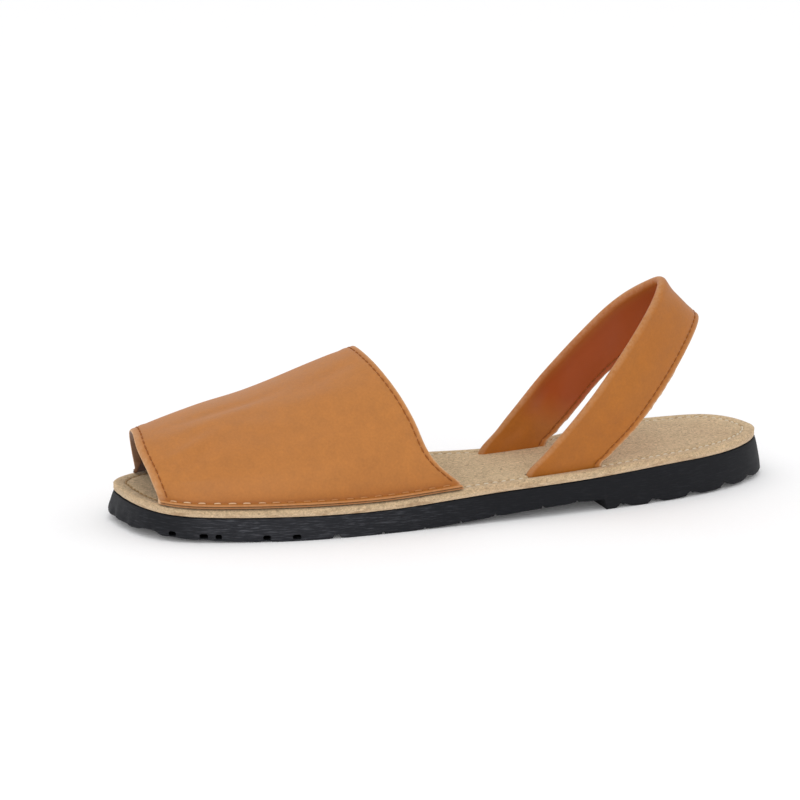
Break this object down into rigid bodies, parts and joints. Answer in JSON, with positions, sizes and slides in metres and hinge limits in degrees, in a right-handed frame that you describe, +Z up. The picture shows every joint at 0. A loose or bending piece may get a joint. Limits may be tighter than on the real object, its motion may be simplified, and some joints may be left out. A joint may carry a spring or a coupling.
{
  "type": "avarca sandal",
  "caption": "Low leather sandal for a left foot: broad open-toed vamp with turned-out edges, folded heel strap, flat leather footbed and a thin rubber sole with a grooved tread.",
  "frame": {"origin": "middle of the overall box, on the ground", "axes": "+Z up, toe toward -Y, heel toward +Y, outer side of the left foot toward +X"},
  "size_m": [0.0866, 0.2536, 0.0802],
  "materials": {
    "outsole": "matt black rubber with a faint side texture",
    "footbed": "beige suede split, unpolished",
    "vamp": "smooth tan leather, semi-gloss",
    "heel_strap": "smooth tan leather, semi-gloss, folded double"
  },
  "bodies": {
    "root": {"outsole": "outsole", "footbed": "footbed", "vamp": "vamp", "heel_strap": "heel_strap"}
  },
  "joints": []
}
